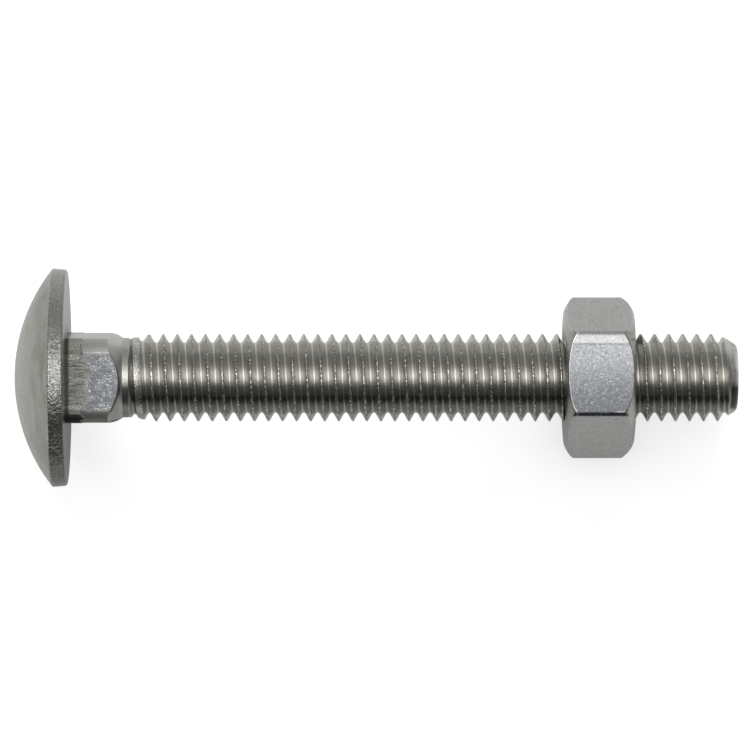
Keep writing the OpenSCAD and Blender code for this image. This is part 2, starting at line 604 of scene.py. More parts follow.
class Effects:
    """The shared effects, each built once."""

    def __init__(self) -> None:
        """Builds every effect."""
        self.grain = self._grain()
        self.lines = self._lines()
        self.speckle = self._speckle()
        self.scratch = self._scratch()

    @staticmethod
    def _grain() -> Tree:
        """Builds the steel's grain: fine grit and broad clouds.

        Returns:
            The group.
        """
        names = {"Place": None, "Grit Size": 0.1, "Cloud Size": 2.0}
        effect = Effect("steel grain", names, ["Grit", "Cloud"])
        for label, detail in (("Grit", 3.0), ("Cloud", 4.0)):
            scale = effect.part(f"{label} Size")
            effect.give(label, effect.wiring.clouds(effect.value("Place"), scale, detail, 0.6))
        return effect.tree

    @staticmethod
    def _lines() -> Tree:
        """Builds fine lines that run along the bolt.

        Returns:
            The group.
        """
        names = {"Place": None, "Line Width": 0.08, "Line Length": 2.0, "Share": 0.5, "Turn": 0.0}
        effect = Effect("drawn lines", names, ["Line", "Shade"])
        wiring = effect.wiring
        across = effect.part("Line Width")
        size = wiring.join(across, across, effect.part("Line Length"))
        turned = wiring.rolled(effect.value("Place"), effect.value("Turn"))
        stretched = wiring.vector("MULTIPLY", turned, size).outputs[0]
        streak = wiring.clouds(stretched, 1.0, 3.0, 0.55)
        edge = wiring.calc("SUBTRACT", 0.78, wiring.product(effect.value("Share"), 0.45))
        effect.give("Line", wiring.span(wiring.calc("SUBTRACT", streak, edge), 0.0, 0.08))
        effect.give("Shade", streak)
        return effect.tree

    @staticmethod
    def _speckle() -> Tree:
        """Builds small bright flecks.

        Returns:
            The group.
        """
        effect = Effect("flecks", {"Place": None, "Fleck Size": 0.12, "Share": 0.3}, ["Fleck"])
        wiring = effect.wiring
        cloud = wiring.clouds(effect.value("Place"), effect.part("Fleck Size"), 2.0, 0.7)
        edge = wiring.calc("SUBTRACT", 0.75, wiring.product(effect.value("Share"), 0.5))
        effect.give("Fleck", wiring.span(wiring.calc("SUBTRACT", cloud, edge), 0.0, 0.1))
        return effect.tree

    @staticmethod
    def _scratch() -> Tree:
        """Builds one short scratch or nick at a chosen place on the upper side.

        Returns:
            The group.
        """
        names = {
            "Place": None, "Across": 0.0, "Along": 0.0, "Turn": 0.0, "Half Length": 0.5, "Half Width": 0.05
        }
        effect = Effect("single scratch", names, ["Scratch"])
        wiring = effect.wiring
        place = effect.value("Place")
        middle = wiring.join(0.0, effect.value("Across"), effect.value("Along"))
        moved = wiring.vector("SUBTRACT", place, middle).outputs[0]
        parts = wiring.split(wiring.rolled(moved, effect.value("Turn")))
        long_part = wiring.calc("DIVIDE", parts["Z"], effect.value("Half Length"))
        wide_part = wiring.calc("DIVIDE", parts["Y"], effect.value("Half Width"))
        distance = wiring.calc(
            "ADD", wiring.product(long_part, long_part), wiring.product(wide_part, wide_part)
        )
        on_top = wiring.span(wiring.split(place)["X"], -1.0, -2.0)
        effect.give("Scratch", wiring.product(wiring.span(distance, 1.0, 0.5), on_top))
        return effect.tree


# Finishes


def grey(tone: float) -> Colour:
    """Gives a grey of a tone from 0 to 1."""
    return (tone, tone, tone)


@dataclass
class Surface:
    """What a finish has worked out so far for each point of a piece.

    The camera looks along depth, across runs up in the picture and along runs to the tip.
    """

    wiring: Wiring
    effects: Effects
    place: Socket
    depth: Socket
    across: Socket
    along: Socket
    colour: Socket
    roughness: Socket
    height: Socket
    grit: Socket
    cloud: Socket

    def tint(self, colour: Value, *shares: Value) -> None:
        """Mixes in a colour by the product of some shares."""
        self.colour = self.wiring.blend(self.wiring.product(*shares), self.colour, colour)

    def polish(self, roughness: Value, share: Value) -> None:
        """Mixes in a roughness by a share."""
        self.roughness = self.wiring.level(share, self.roughness, roughness)

    def lift(self, height: Value) -> None:
        """Adds to the relief."""
        self.height = self.wiring.calc("ADD", self.height, height)

    def grain(self, grit: float, cloud: float, place: Socket | None = None) -> Outputs:
        """Adds grit and clouds of some sizes, at the piece's own place or at another one."""
        inputs = {"Place": self.place if place is None else place, "Grit Size": grit, "Cloud Size": cloud}
        return self.wiring.effect(self.effects.grain, inputs)

    def lines(self, width: float, length: float, share: float = 0.5, turn: float = 0.0) -> Outputs:
        """Adds drawn lines, turned by some radians."""
        sizes = {"Line Width": width, "Line Length": length, "Share": share, "Turn": turn}
        return self.wiring.effect(self.effects.lines, {"Place": self.place, **sizes})

    def flecks(self, size: float, share: float) -> Socket:
        """Adds bright flecks."""
        inputs = {"Place": self.place, "Fleck Size": size, "Share": share}
        return self.wiring.effect(self.effects.speckle, inputs)["Fleck"]


@dataclass(frozen=True)
class SteelFinish:
    """Plain grey steel with grit and clouds: the other finishes add to it."""

    name: str
    effects: Effects
    colour: Colour = (0.41, 0.405, 0.38)
    dark_colour: Colour = (0.35, 0.345, 0.315)
    smooth: float = 0.2
    rough: float = 0.32
    grit_size: float = 0.1
    cloud_size: float = 2.5
    relief: float = 0.02

    def material(self) -> bpy.types.Material:
        """Builds the material.

        Returns:
            The material.
        """
        made = bpy.data.materials.new(self.name)
        wiring = Wiring.fresh(made)
        place = wiring.upright()
        sizes = {"Place": place, "Grit Size": self.grit_size, "Cloud Size": self.cloud_size}
        grit, cloud = wiring.effect(self.effects.grain, sizes)
        colour = wiring.blend(wiring.span(cloud, 0.35, 0.65), self.dark_colour, self.colour)
        roughness = wiring.span(grit, 0.3, 0.7, self.smooth, self.rough)
        surface = Surface(
            wiring, self.effects, place, *wiring.split(place), colour, roughness, grit, grit, cloud
        )
        self.add_marks(surface)
        bump = wiring.add(
            "ShaderNodeBump", {"Height": surface.height, "Strength": 1.0, "Distance": self.relief * MM}
        )
        shader = wiring.add("ShaderNodeBsdfPrincipled", {
            "Metallic": 1.0, "Base Color": surface.colour, "Roughness": surface.roughness,
            "Normal": bump.outputs[0],
        })
        wiring.add("ShaderNodeOutputMaterial", {"Surface": shader.outputs[0]})
        return made

    def add_marks(self, surface: Surface) -> None:
        """Adds nothing: a finish with marks of its own adds them here."""


@dataclass(frozen=True)
class HeadFinish(SteelFinish):
    """Satin dome, gritty rim and a smooth bearing face."""

    rim_colour: Colour = (0.39, 0.386, 0.365)
    rim_rough: float = 0.13
    rim_relief: float = 2.6

    def add_marks(self, surface: Surface) -> None:
        """Adds the dome's mottle, the rim's grit and the bearing face's dents, with painted shade on the
        dome, painted light and shade on the rim, and painted shade on the bearing face, darkest round the
        neck.

        Args:
            surface: What is worked out so far.
        """
        wiring = surface.wiring
        tint, span = surface.tint, wiring.span
        depth, across, along = surface.depth, surface.across, surface.along
        rim = wiring.mark(Mark.RIM)
        coarse = surface.grain(0.17, 0.5)
        banded = wiring.join(depth, wiring.product(across, 0.35), wiring.product(along, 1.6))
        mottle = surface.grain(1.3, 3.0, banded)["Grit"]
        near_rim = span(along, -3.6, -1.4, 0.2, 0.85)
        tint((0.25, 0.241, 0.205), span(mottle, 0.35, 0.65), near_rim)
        # Painted shade: the dome darker towards its lower and upper edges.
        below = span(across, -3.0, -7.0, 0.0, 0.6)
        above = span(across, 4.0, 7.0, 0.0, 0.35)
        tint((0.2, 0.197, 0.175), wiring.calc("ADD", below, above))
        tint(self.rim_colour, rim)
        # Dark pits in the rim's grit, fewer towards the top: the thinning is painted light that keeps the
        # rim's top lighter.
        pits = span(coarse["Grit"], 0.54, 0.4)
        tint((0.1, 0.098, 0.092), pits, span(across, 2.0, 4.0, 1.0, 0.45), rim, 0.75)
        surface.polish(self.rim_rough, rim)
        # Painted shade: the rim darker towards the bottom, broken up by its grit.
        low_shade_grit = span(coarse["Grit"], 0.62, 0.4, 0.55, 0.98)
        tint((0.07, 0.07, 0.067), rim, span(across, -5.6, -7.2), low_shade_grit)
        on_face = span(along, -0.3, -0.1)
        # Painted shade over the bearing face, heavier towards the bottom.
        tint((0.1, 0.1, 0.095), span(across, -3.5, -4.5, 0.25, 0.75), on_face)
        dents = surface.grain(0.38, 1.0, wiring.join(wiring.product(depth, 0.06), across, 0.0))["Grit"]
        from_middle = wiring.distance(depth, across)
        far_side = wiring.calc("ADD", from_middle, wiring.product(depth, 0.16))
        at_foot = span(far_side, 8.7, 9.1)
        tint(grey(0.06), span(dents, 0.52, 0.58), at_foot, on_face, 0.8)
        # Painted shade: the rim a little darker above its middle.
        tint((0.17, 0.168, 0.16), rim, span(across, 0.4, 2.0, 0.0, 0.2))
        # Painted shade: a dark ragged ring on the bearing face round the neck.
        from_neck = wiring.distance(wiring.product(depth, 0.47), across)
        ragged = wiring.calc("ADD", from_neck, span(mottle, 0.3, 0.7, -0.3, 0.3))
        tint(grey(0.035), span(ragged, 4.9, 3.9), on_face, 0.92)
        relief = wiring.calc("ADD", coarse["Grit"], wiring.product(coarse["Cloud"], 1.5))
        surface.height = wiring.level(rim, surface.height, wiring.product(relief, self.rim_relief))


@dataclass(frozen=True)
class NeckFinish(SteelFinish):
    """Square neck: drawn lines near the head, a frosted patch, and a smooth cut cone."""

    lined_colour: Colour = (0.19, 0.195, 0.175)
    frost_colour: Colour = (0.155, 0.164, 0.175)

    def add_marks(self, surface: Surface) -> None:
        """Adds the marks of the flats, the shank, the edges and the fuller corners, with painted light
        along the upper side, painted shade below and along the edges, and a painted highlight.

        Args:
            surface: What is worked out so far.
        """
        wiring = surface.wiring
        tint, span = surface.tint, wiring.span
        across, along = surface.across, surface.along
        ragged = wiring.calc("ADD", along, span(surface.cloud, 0.3, 0.7, -0.5, 0.5))
        lined = span(ragged, 2.3, 1.5)
        gap = wiring.mark(Mark.EDGE_GAP)
        on_side = span(gap, 0.0, 0.04)
        corner_gap = wiring.mark(Mark.CORNER_GAP)
        frayed = wiring.calc("ADD", corner_gap, span(surface.grit, 0.3, 0.7, -0.15, 0.15))
        on_flat = span(frayed, -0.12, 0.12)
        flat = wiring.product(on_side, on_flat, span(across, 3.5, 3.2))
        lined_flat = wiring.product(lined, flat)
        frost = wiring.product(wiring.rest(lined), flat)
        fleck = surface.flecks(0.1, 0.46)
        lines = surface.lines(0.07, 1.3)
        tint(self.lined_colour, lined_flat, 0.8)
        tint(self.frost_colour, frost, 0.9)
        tint((0.06, 0.062, 0.056), lines["Line"], lined_flat, 0.97)
        tint((0.46, 0.47, 0.46), surface.lines(0.09, 0.9, turn=0.05)["Line"], lined_flat, 0.6)
        clusters = span(surface.grain(0.9, 2.0)["Grit"], 0.42, 0.6, 0.15, 1.0)
        tint((0.84, 0.85, 0.86), fleck, frost, clusters)
        tint((0.42, 0.43, 0.43), surface.lines(0.16, 1.2)["Line"], flat, 0.3)
        shank = span(along, 4.95, 5.0)
        tint((0.43, 0.422, 0.385), shank)
        # Painted shade: the shank darker below its middle.
        tint((0.08, 0.08, 0.075), shank, span(across, -0.8, -1.3, 0.0, 0.65))
        # Bright flecks in a band below the middle of the shank.
        low_fleck_band = wiring.window(across, (-0.4, -1.0), (-2.6, -2.0))
        tint((0.95, 0.94, 0.9), low_fleck_band, fleck, shank, 0.3)
        # Painted light: the neck lighter along its upper side.
        tint((0.56, 0.56, 0.545), span(across, 2.3, 3.0), span(along, 5.0, 4.9), 0.9)
        # Painted shade: a dark line along the edge where the cone meets the flats, wider towards the
        # bottom.
        thick = span(across, -0.6, -2.0, -0.1, -0.3)
        inside = span(wiring.calc("SUBTRACT", gap, thick), 0.0, 0.06)
        edge = wiring.product(inside, span(gap, 0.05, 0.0), span(across, 3.0, 2.6))
        tint(grey(0.06), edge, span(corner_gap, -0.3, 0.0), 0.8)
        corner = wiring.product(on_side, wiring.rest(on_flat))
        surface.polish(0.4, frost)
        surface.polish(0.6, corner)
        surface.polish(wiring.level(shank, 0.3, 0.22), wiring.rest(on_side))
        # Painted shade: the lower rounded corner darker.
        tint((0.1, 0.102, 0.1), corner, span(across, -2.6, -3.0), 0.5)
        glint = wiring.product(
            wiring.window(corner_gap, (-0.16, -0.06), (0.12, 0.04)), on_side, span(across, 1.8, 2.1),
            span(along, 1.4, 1.8), span(surface.grit, 0.4, 0.55),
        )
        tint((0.85, 0.85, 0.84), glint, 0.75)
        self.add_root_marks(surface)
        surface.height = wiring.level(corner, surface.height, 0.5)
        surface.lift(wiring.product(lines["Shade"], lined_flat, 1.5))

    def add_root_marks(self, surface: Surface) -> None:
        """Adds the marks next to the head: patches with a painted shadow along their edges, painted shade
        on the lower side, and painted shade in the angle.

        Args:
            surface: What is worked out so far.
        """
        wiring = surface.wiring
        tint, span = surface.tint, wiring.span
        root = wiring.mark(Mark.ROOT)
        root_end = wiring.mark(Mark.ROOT_END)
        inside = span(root_end, 0.4, 0.6)
        patch_colour = wiring.blend(surface.flecks(0.13, 0.6), (0.24, 0.24, 0.2), (0.5, 0.5, 0.44))
        tint(patch_colour, root, inside, 0.85)
        # Painted shadow: a dark line along the ragged edge of the patches.
        tint(grey(0.07), wiring.window(root_end, (0.02, 0.3), (0.9, 0.5)), root, 0.7)
        # Painted shade: the neck's lower side next to the head almost black.
        tint(grey(0.03), inside, span(surface.across, -3.35, -3.5), 0.9)
        # Painted shade: a dark line in the angle between the neck and the head.
        tint(grey(0.05), span(surface.along, 0.36, 0.2), 0.85)


@dataclass(frozen=True)
class ThreadFinish(SteelFinish):
    """Rolled thread: smooth flanks, flecked bright crests and a duller cut end."""

    crest_colour: Colour = (0.85, 0.83, 0.79)

    def add_marks(self, surface: Surface) -> None:
        """Adds painted light and shade across the thread and on the tip, painted shade in the first
        grooves, the crests' flecks and the cut end.

        Args:
            surface: What is worked out so far.
        """
        wiring = surface.wiring
        tint, span = surface.tint, wiring.span
        across, along = surface.across, surface.along
        height = wiring.mark(Mark.HEIGHT)
        # Painted shade: the thread darker towards the bottom.
        tint((0.2, 0.2, 0.19), span(across, -1.9, -2.8, 0.0, 0.35))
        # Painted light: the thread lighter towards the top.
        tint((0.66, 0.655, 0.62), span(across, 1.2, 2.2, 0.0, 0.3))
        # Painted shade: a dark band below the middle of the thread.
        tint(grey(0.04), wiring.window(across, (-1.7, -2.1), (-3.0, -2.3)), 0.62)
        # Painted shade in the low parts of the first grooves next to the shank.
        tint((0.16, 0.16, 0.15), span(along, 6.3, 6.1), span(height, 0.56, 0.48), 0.5)
        first = wiring.product(span(along, 7.0, 6.8), span(height, 0.52, 0.6))
        crest = wiring.calc("MAXIMUM", span(height, 0.88, 0.97), first)
        fleck = surface.flecks(0.14, 0.5)
        tint(self.crest_colour, crest, fleck, wiring.level(first, 1.0, 0.5))
        tint((0.15, 0.148, 0.14), crest, wiring.rest(fleck), wiring.level(first, 0.85, 0.35))
        last = span(along, 58.7, 59.0)
        # Painted light: the tip lighter, most of all below its upper side.
        tint((0.78, 0.775, 0.755), last, span(across, 1.2, 2.2, 0.8, 0.4))
        tint((0.2, 0.2, 0.195), last, span(surface.cloud, 0.6, 0.4, 0.1, 0.5))
        # Painted shade: a nearly black band below the middle of the tip.
        tint(grey(0.02), wiring.window(across, (-0.3, -1.2), (-3.1, -2.7)), last, 0.95)
        end = wiring.mark(Mark.CUT_END)
        tint((0.33, 0.32, 0.3), end, 0.5)
        for roughness, share in ((0.26, crest), (0.32, last), (0.5, end)):
            surface.polish(roughness, share)


@dataclass(frozen=True)
class Nick:
    """A short scratch: its middle across and along the bolt, turn, and half sizes."""

    across: float
    along: float
    turn: float
    half_length: float
    half_width: float
    bright: bool = True


@dataclass(frozen=True)
class NutFinish(SteelFinish):
    """Nut: scratched flats, painted dark and bright lines along the edges, and grainy chamfers."""

    flat_colour: Colour = (0.33, 0.34, 0.352)
    side_colour: Colour = (0.49, 0.488, 0.478)
    nicks: tuple[Nick, ...] = ()

    def add_marks(self, surface: Surface) -> None:
        """Adds the flats' colours with painted shade towards the bottom, the lines along their edges, some
        of them painted shade and highlight, and the scratches.

        Args:
            surface: What is worked out so far.
        """
        wiring = surface.wiring
        tint, span = surface.tint, wiring.span
        depth, across = surface.depth, surface.across
        gap = wiring.mark(Mark.EDGE_GAP)
        flat = span(gap, 0.0, 0.05)
        inner = span(wiring.calc("ABSOLUTE", across), 3.82, 3.7)
        on_top = wiring.product(span(depth, -5.2, -5.8), inner)
        top_flat = wiring.product(flat, on_top)
        # Painted shade: the side flats darker towards the bottom.
        side = wiring.blend(span(across, 3.0, -3.0, 0.0, 0.2), self.side_colour, (0.2, 0.2, 0.195))
        both = wiring.blend(on_top, side, self.flat_colour)
        tint(both, wiring.level(on_top, span(gap, -0.7, 0.1), flat))
        blotch = span(surface.grain(0.28, 0.8)["Grit"], 0.42, 0.62)
        tint((0.24, 0.245, 0.25), blotch, flat, 0.3)
        near_side = span(wiring.mark(Mark.CORNER_GAP), 1.3, 0.4)
        tint(grey(0.2), surface.lines(0.5, 0.07, 0.35)["Line"], near_side, flat, 0.45)
        # Painted shade: the front flat darker towards the bottom.
        front_low_shade = wiring.product(span(across, 2.6, -3.0), top_flat)
        tint((0.14, 0.147, 0.158), front_low_shade, 0.95)
        tint(grey(0.16), wiring.window(across, (2.44, 2.56), (2.74, 2.62)), top_flat, 0.5)
        tint(grey(0.62), span(across, 2.62, 2.75), top_flat, 0.5)
        # Painted shade: a dark line along the front flat's bottom edge.
        low_line = wiring.window(across, (-3.46, -3.52), (-3.78, -3.7))
        near_top = span(depth, -5.2, -5.6)
        tint(grey(0.05), low_line, near_top, span(gap, -0.3, -0.1), 0.9)
        # A bright broken band just above the front flat's dark bottom line.
        bright_low_band = wiring.window(across, (-3.32, -3.38), (-3.48, -3.42))
        tint(grey(0.8), bright_low_band, flat, span(surface.cloud, 0.4, 0.55), 0.8)
        # Painted highlight: a bright line along the front flat's edge at the head's end.
        line = wiring.window(gap, (0.0, 0.03), (0.12, 0.07))
        tint((0.85, 0.85, 0.84), line, on_top, span(surface.along, 47.6, 46.8), 0.8)
        # Painted shade: a dark line just outside the front flat's edges, fading towards the top.
        outer = wiring.window(gap, (-0.14, -0.05), (0.03, -0.01))
        tint(grey(0.1), outer, on_top, span(across, 3.4, 2.9), 0.7)
        surface.polish(0.34, flat)
        shown = wiring.level(on_top, 0.12, 0.5)
        for turn, share, tone in ((25, 0.45, 0.75), (-50, 0.45, 0.75), (75, 0.5, 0.1), (-15, 0.5, 0.1)):
            marks = surface.lines(0.07, 0.34, share, math.radians(turn))["Line"]
            tint(grey(tone), marks, flat, shown)
        # More painted shade towards the bottom of the front flat.
        tint((0.09, 0.095, 0.103), front_low_shade, 0.42)
        for nick in self.nicks:
            self.add_nick(surface, nick)

    def add_nick(self, surface: Surface, nick: Nick) -> None:
        """Adds a short scratch.

        Args:
            surface: What is worked out so far.
            nick: The scratch.
        """
        inputs = {
            "Place": surface.place, "Across": nick.across, "Along": nick.along,
            "Turn": math.radians(nick.turn), "Half Length": nick.half_length,
            "Half Width": nick.half_width,
        }
        mask = surface.wiring.effect(self.effects.scratch, inputs)["Scratch"]
        surface.tint((0.92, 0.92, 0.9) if nick.bright else grey(0.08), mask, 0.5)
        surface.lift(surface.wiring.product(mask, -0.8))


@dataclass(frozen=True)
class FloorFinish:
    """Plain pale floor that shows white, also in the steel, and keeps the bolt's shadow."""

    name: str = "pale floor"
    colour: Colour = (0.5, 0.5, 0.497)
    lift: float = 0.62
    mirrored_lift: float = 0.08

    def material(self) -> bpy.types.Material:
        """Builds the material.

        Returns:
            The material.
        """
        made = bpy.data.materials.new(self.name)
        wiring = Wiring.fresh(made)
        matt = wiring.add("ShaderNodeBsdfDiffuse", {"Color": self.colour})
        path = wiring.add("ShaderNodeLightPath").outputs
        mirrored = wiring.calc("MAXIMUM", path["Is Glossy Ray"], path["Is Transmission Ray"])
        mirrored = wiring.product(mirrored, self.mirrored_lift)
        seen = wiring.product(path["Is Camera Ray"], self.lift)
        strength = wiring.calc("ADD", seen, mirrored)
        glow = wiring.add("ShaderNodeEmission", {"Color": grey(1.0), "Strength": strength})
        both = wiring.add("ShaderNodeAddShader", {0: matt.outputs[0], 1: glow.outputs[0]})
        wiring.add("ShaderNodeOutputMaterial", {"Surface": both.outputs[0]})
        return made


# The pieces' common side


@dataclass
class Piece:
    """A closed piece, made upright in millimetres and dressed in its finish."""

    effects: Effects
    name: ClassVar[str]
    sharp: ClassVar[float]
    body: ClassVar[Body] = Body.BOLT
    slot: ClassVar[Slot] = Slot.BOLT
    node: ClassVar[str] = "bolt"

    def shell(self) -> Shell:
        """Makes the mesh."""
        raise NotImplementedError

    def marks(self) -> Marks:
        """Gives the numbers that the finish reads, each as a function of the place."""
        raise NotImplementedError

    def finish(self) -> SteelFinish:
        """Gives the finish."""
        raise NotImplementedError

    def build(self) -> Thing:
        """Builds the piece and dresses it.

        Returns:
            The new object.
        """
        bm = self.shell()
        for mark, value_at in self.marks().items():
            note_mark(bm, mark, value_at)
        dress = self.finish().material()
        return finish_piece(bm, self.name, self.body, self.node, dress, self.sharp)


# The bolt


@dataclass
class Head(Piece):
    """Low domed head: sizes are in millimetres."""

    name: ClassVar[str] = "domed_head"
    sharp: ClassVar[float] = 40
    width: float = 19.48
    height: float = 4.68
    rim_height: float = 1.27
    rim_taper: float = 0.12
    rim_depth: float = 0.32
    rim_fade: float = 0.16
    dome_steps: int = 32
    sides: int = 192

    def outline(self) -> list[Point]:
        """Draws half of the head's section, from the dome's top to the middle of the bearing face.

        Returns:
            The outline's points.
        """
        half = self.width / 2
        rise = self.height - self.rim_height
        ball = (rise * rise + half * half) / (2 * rise)
        foot = half - self.rim_taper
        last = math.asin(foot / ball)
        dome = []
        for step in range(self.dome_steps + 1):
            angle = last * step / self.dome_steps
            dome.append((ball * math.sin(angle), ball - self.height - ball * math.cos(angle)))
        side = softened(
            [
                (*dome[-1], 0.0),
                (half - 0.015, -self.rim_height - 0.02, 0.07),
                (half - 0.02, -self.rim_height + 0.15, 0.05),
                (foot, -0.02, 0.18),
                (foot - 0.5, 0.0, 0.2),
                (foot - 1.2, 0.0, 0.0),
            ]
        )
        face = [(radius, 0.0) for radius in (7.0, 6.0, 5.0, 4.0, 2.5, 0.0)]
        return dome + side[1:] + face

    def shell(self) -> Shell:
        """Makes the head's mesh."""
        return turned_shell(self.outline(), self.sides)

    def marks(self) -> Marks:
        """Gives 1 on the rim's side and 0 on the dome and the bearing face."""
        inner = self.width / 2 - self.rim_depth
        return {Mark.RIM: lambda place: clamped((polar(place)[0] - inner) / self.rim_fade)}

    def finish(self) -> SteelFinish:
        """Gives the head's finish."""
        return HeadFinish("satin head steel", self.effects, (0.42, 0.415, 0.385), (0.36, 0.354, 0.322))


@dataclass
class Neck(Piece):
    """Square neck with round corners, cut by a cone, and the plain shank."""

    name: ClassVar[str] = "square_neck"
    sharp: ClassVar[float] = 14
    width: float = 7.5
    length: float = 4.64
    corner: float = 1.2
    root_corner: float = 0.85
    root_length: float = 1.35
    root_wave: float = 0.4
    root_fade: float = 0.12
    cut_angle: float = 48.0
    blend_length: float = 0.34
    turned: float = 9.4
    shank_width: float = 7.1
    shank_end: float = 5.5
    bore: float = 2.0
    wall: float = 3.0
    inside_head: float = -0.4
    sides: int = 320

    def cone_radius(self, height: float) -> float:
        """Gives the radius that the cone, the blend and the shank leave at a height.

        Args:
            height: Distance from the bearing face.

        Returns:
            The radius.
        """
        flat = self.width / 2
        if height < self.length:
            return flat + (self.length - height) * math.tan(math.radians(self.cut_angle))
        part = min(1.0, (height - self.length) / self.blend_length)
        return flat + (self.shank_width / 2 - flat) * part

    def root_limit(self, angle: float) -> float:
        """Gives the height of the ragged limit of the fuller corners."""
        return self.root_length + noise.noise(Vector((angle * 14, 0.0, 3.1))) * self.root_wave

    def radii(self, angle: float, height: float) -> tuple[float, float]:
        """Gives the distances to the prism's side, fuller next to the head, and to the cone.

        Args:
            angle: Direction in radians.
            height: Distance from the bearing face.

        Returns:
            The two distances.
        """
        past = clamped((height - self.root_limit(angle)) / 0.08)
        corner = self.root_corner + (self.corner - self.root_corner) * past
        side = prism_radius(angle - math.radians(self.turned), self.width / 2, corner, 4)
        return side, self.cone_radius(height)

    def shaped(self, now: float, angle: float, height: float) -> float:
        """Gives the outside's radius, and leaves the bore as it is."""
        return now if now < self.wall - CLOSE else min(self.radii(angle, height))

    def side_angle(self, place: Vector) -> float:
        """Gives the angle between a place's direction and the middle of the nearest flat."""
        return folded(polar(place)[1] - math.radians(self.turned), 4)

    def edge_gap(self, place: Vector) -> float:
        """Gives how far the cone stands outside the prism's side: less than 0 on the cone."""
        side, cone = self.radii(polar(place)[1], place.z)
        return cone - side

    def corner_gap(self, place: Vector) -> float:
        """Gives the distance along a flat from where its nearer corner starts to round."""
        sideways = polar(place)[0] * math.sin(self.side_angle(place))
        return self.width / 2 - self.corner - sideways

    def root_share(self, place: Vector) -> float:
        """Gives 1 on the corners and 0 on the flats between them."""
        turn = math.degrees(self.side_angle(place))
        return clamped(min((turn - 27) / 4, (43 - turn) / 2))

    def root_end(self, place: Vector) -> float:
        """Gives 1 next to the head, falling to 0 over the ragged limit."""
        return clamped((self.root_limit(polar(place)[1]) - place.z) / self.root_fade + 0.5)

    def shell(self) -> Shell:
        """Makes the neck's mesh.

        Returns:
            The mesh.
        """
        low, face, end = (self.wall, self.inside_head), (self.wall, 0.0), (self.wall, self.shank_end)
        wall = spaced(low, face, 2) + spaced(face, end, 104)
        outline = [(self.bore, self.inside_head), *wall, end, (self.bore, self.shank_end)]
        bm = turned_shell(outline, self.sides, closed=True)
        set_radii(bm, self.shaped)
        return bm

    def marks(self) -> Marks:
        """Gives the numbers that the neck's finish reads."""
        gaps = {Mark.EDGE_GAP: self.edge_gap, Mark.CORNER_GAP: self.corner_gap}
        return gaps | {Mark.ROOT: self.root_share, Mark.ROOT_END: self.root_end}

    def finish(self) -> SteelFinish:
        """Gives the neck's finish."""
        return NeckFinish("lined neck steel", self.effects)


@dataclass
class Thread(Piece):
    """Rolled right-handed thread, from its run-out on the shank to the tip."""

    name: ClassVar[str] = "rolled_thread"
    sharp: ClassVar[float] = 50
    width: float = 7.8
    flank_angle: float = 30.0
    crest_flat: float = 0.12
    crest_round: float = 0.055
    root_round: float = 0.46
    root: float = 3.04
    start: float = 5.2
    end: float = 59.6
    tip_cut: float = 0.12
    end_skin: float = 0.04
    ridge_tops: tuple[Point, ...] = (
        (5.5, 3.52), (6.03, 3.58), (6.35, 3.6), (6.6, 3.7), (7.28, 3.84), (7.9, 3.9), (57.9, 3.9),
        (58.47, 3.58), (58.74, 3.46), (59.0, 3.29), (59.27, 3.14), (59.45, 2.99), (59.6, 2.75),
    )
    groove_floors: tuple[Point, ...] = (
        (5.5, 3.52), (5.56, 3.46), (6.0, 3.16), (6.6, 3.06), (6.8, 3.02), (58.3, 3.02), (59.2, 3.34)
    )
    fuller: tuple[Point, ...] = ((5.5, 0.0), (6.0, 0.14), (6.9, 0.14), (7.4, 0.0))
    tip_rings: tuple[Point, ...] = ((59.54, 2.87), (59.58, 2.78), (59.6, 2.66), (59.6, 1.6))
    sides: int = 72

    def outline(self) -> list[Point]:
        """Draws the thread's side from one crest to the next.

        Returns:
            The outline's points.
        """
        crest = self.width / 2
        half_crest = self.crest_flat / 2
        middle = PITCH / 2
        valley = crest - (middle - half_crest) / math.tan(math.radians(self.flank_angle))
        crest_part = softened(
            [(crest, 0.0, 0.0), (crest, half_crest, self.crest_round), (valley, middle, 0.0)], steps=3
        )
        round_part = softened(
            [(crest, half_crest, 0.0), (valley, middle, self.root_round), (crest, PITCH - half_crest, 0.0)],
            steps=7,
        )
        falling = crest_part[:-2] + spaced(crest_part[-2], round_part[1], 4)
        rising = [(radius, PITCH - height) for radius, height in reversed(falling)]
        return falling + round_part[1:-1] + rising

    def limited(self, now: float, angle: float, height: float) -> float:
        """Keeps a radius between the groove's floor and the ridge's top, at any angle."""
        fuller = now + between(self.fuller, height)
        return min(max(fuller, between(self.groove_floors, height)), between(self.ridge_tops, height))

    def shell(self) -> Shell:
        """Makes the thread's mesh.

        Returns:
            The mesh.
        """
        bm = wound_shell(self.outline(), self.start, self.end, self.sides)
        set_radii(bm, self.limited)
        bmesh.ops.edgeloop_fill(bm, edges=cut_square(bm, self.start, keep_above=True))
        edge = cut_square(bm, self.end - self.tip_cut, keep_above=False)
        for height, radius in self.tip_rings:
            edge = carry_edge(bm, edge, radius, height, cap=True)
        bmesh.ops.edgeloop_fill(bm, edges=edge)
        return bm

    def marks(self) -> Marks:
        """Gives 0 in the grooves and 1 on the crests, and 1 on the cut end."""
        depth = self.width / 2 - self.root
        return {
            Mark.HEIGHT: lambda place: (polar(place)[0] - self.root) / depth,
            Mark.CUT_END: lambda place: float(place.z > self.end - self.end_skin),
        }

    def finish(self) -> SteelFinish:
        """Gives the thread's finish."""
        return ThreadFinish(
            "rolled thread steel", self.effects, (0.51, 0.503, 0.468), (0.45, 0.443, 0.41),
            smooth=0.14, rough=0.22, cloud_size=1.2,
        )


@dataclass
class Bolt:
    """The bolt: head, neck and thread, which are one piece of steel."""

    effects: Effects

    def build(self) -> list[Thing]:
        """Builds the bolt's pieces."""
        return [kind(self.effects).build() for kind in (Head, Neck, Thread)]


# The nut


